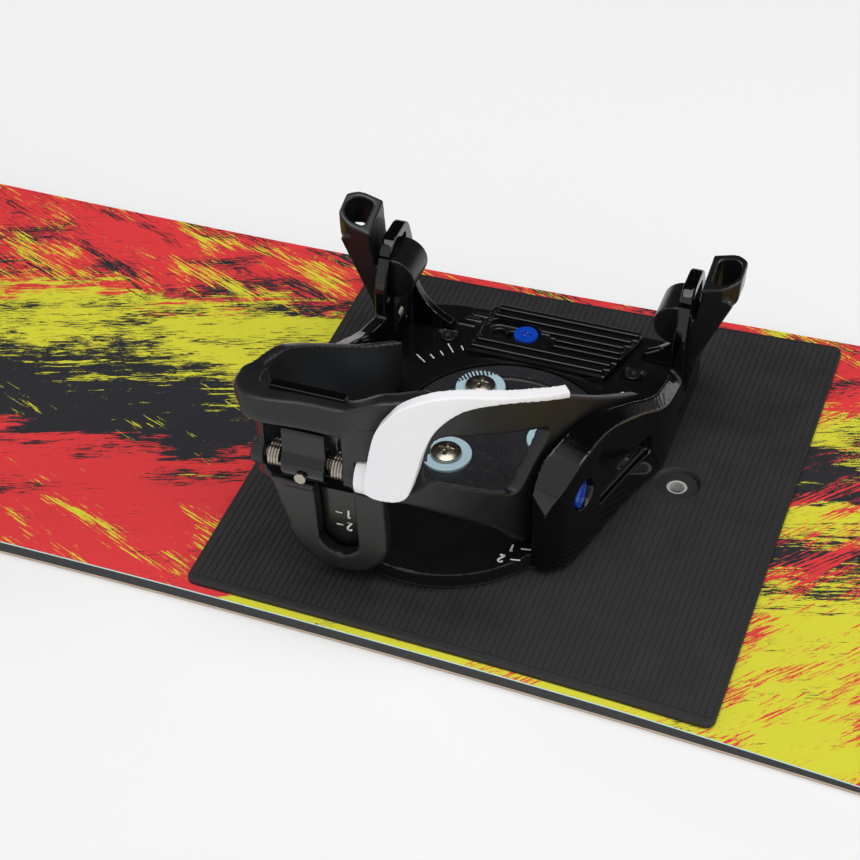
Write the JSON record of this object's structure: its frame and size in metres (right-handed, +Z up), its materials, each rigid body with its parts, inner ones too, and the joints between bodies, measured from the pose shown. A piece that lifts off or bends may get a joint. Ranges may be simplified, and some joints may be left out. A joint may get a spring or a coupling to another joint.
{
  "type": "snowboard with bindings",
  "caption": "Child's twin-tip snowboard with steel edges, ribbed stomp pads and strapless step-in bindings with heel latch, release lever and sprung toe hooks.",
  "frame": {"origin": "centre of the whole object's box, on the flat running base", "axes": "+X along the board towards the nose, +Y towards the toe edge, +Z up out of the top face"},
  "size_m": [1, 0.2416, 0.1057],
  "materials": {
    "sintered_base": "matte",
    "edge_steel": "satin",
    "core_wood": "matte",
    "sidewall_black": "matte",
    "topsheet_graphic": "satin",
    "insert_steel": "satin",
    "pad_rubber": "matte",
    "gasket_foam": "matte",
    "satin_black": "satin",
    "gloss_black": "gloss",
    "disc_plastic": "satin",
    "zinc": "satin",
    "screw_steel": "satin",
    "blue_screw": "gloss",
    "black_screw": "satin",
    "cup_black": "matte",
    "spring_steel": "satin",
    "white_plastic": "satin",
    "hook_black": "satin"
  },
  "bodies": {
    "board": {"base_sheet": "sintered_base", "steel_edge": "edge_steel", "wood_core": "core_wood", "tip_spacers": "sidewall_black", "sidewall": "sidewall_black", "topsheet": "topsheet_graphic", "board_inserts": "insert_steel", "front_pad": "pad_rubber", "front_gasket": "gasket_foam", "front_baseplate": "satin_black", "front_rail_out": "gloss_black", "front_rail_in": "gloss_black", "front_disc": "disc_plastic", "front_disc_washers": "zinc", "front_disc_screws": "screw_steel", "front_toe_ramp": "satin_black", "front_toe_screw": "blue_screw", "front_rail_screws": "black_screw", "front_heel_cup": "cup_black", "front_cup_screws": "blue_screw", "front_cup_nuts": "screw_steel", "front_latch_springs": "spring_steel", "front_cup_bar": "gloss_black", "front_hook_pins": "screw_steel", "front_hook_springs": "spring_steel", "rear_pad": "pad_rubber", "rear_gasket": "gasket_foam", "rear_baseplate": "satin_black", "rear_rail_out": "gloss_black", "rear_rail_in": "gloss_black", "rear_disc": "disc_plastic", "rear_disc_washers": "zinc", "rear_disc_screws": "screw_steel", "rear_toe_ramp": "satin_black", "rear_toe_screw": "blue_screw", "rear_rail_screws": "black_screw", "rear_heel_cup": "cup_black", "rear_cup_screws": "blue_screw", "rear_cup_nuts": "screw_steel", "rear_latch_springs": "spring_steel", "rear_cup_bar": "gloss_black", "rear_hook_pins": "screw_steel", "rear_hook_springs": "spring_steel"},
    "front_release": {"front_release_lever": "white_plastic", "front_latch": "gloss_black", "front_latch_rivet": "screw_steel", "front_latch_shaft": "screw_steel"},
    "front_hook_out": {"front_hook_out": "hook_black"},
    "front_hook_in": {"front_hook_in": "hook_black"},
    "rear_release": {"rear_release_lever": "white_plastic", "rear_latch": "gloss_black", "rear_latch_rivet": "screw_steel", "rear_latch_shaft": "screw_steel"},
    "rear_hook_out": {"rear_hook_out": "hook_black"},
    "rear_hook_in": {"rear_hook_in": "hook_black"}
  },
  "joints": [
    {"name": "front_release_hinge", "type": "hinge", "parent": "board", "child": "front_release", "pos_m": [0.1415, -0.086, 0.0665], "axis": [1, 0, 0], "range_deg": [0, 25], "stiffness_Nm_per_rad": 0.15},
    {"name": "front_outer_hook_hinge", "type": "hinge", "parent": "board", "child": "front_hook_out", "pos_m": [0.245, 0.0505, 0.0305], "axis": [0, 1, 0], "range_deg": [0, 15], "stiffness_Nm_per_rad": 0.12},
    {"name": "front_inner_hook_hinge", "type": "hinge", "parent": "board", "child": "front_hook_in", "pos_m": [0.125, 0.0445, 0.0305], "axis": [0, -1, 0], "range_deg": [0, 15], "stiffness_Nm_per_rad": 0.12},
    {"name": "rear_release_hinge", "type": "hinge", "parent": "board", "child": "rear_release", "pos_m": [-0.1415, -0.086, 0.0665], "axis": [1, 0, 0], "range_deg": [0, 25], "stiffness_Nm_per_rad": 0.15},
    {"name": "rear_outer_hook_hinge", "type": "hinge", "parent": "board", "child": "rear_hook_out", "pos_m": [-0.245, 0.0505, 0.0305], "axis": [0, -1, 0], "range_deg": [0, 15], "stiffness_Nm_per_rad": 0.12},
    {"name": "rear_inner_hook_hinge", "type": "hinge", "parent": "board", "child": "rear_hook_in", "pos_m": [-0.125, 0.0445, 0.0305], "axis": [0, 1, 0], "range_deg": [0, 15], "stiffness_Nm_per_rad": 0.12}
  ]
}
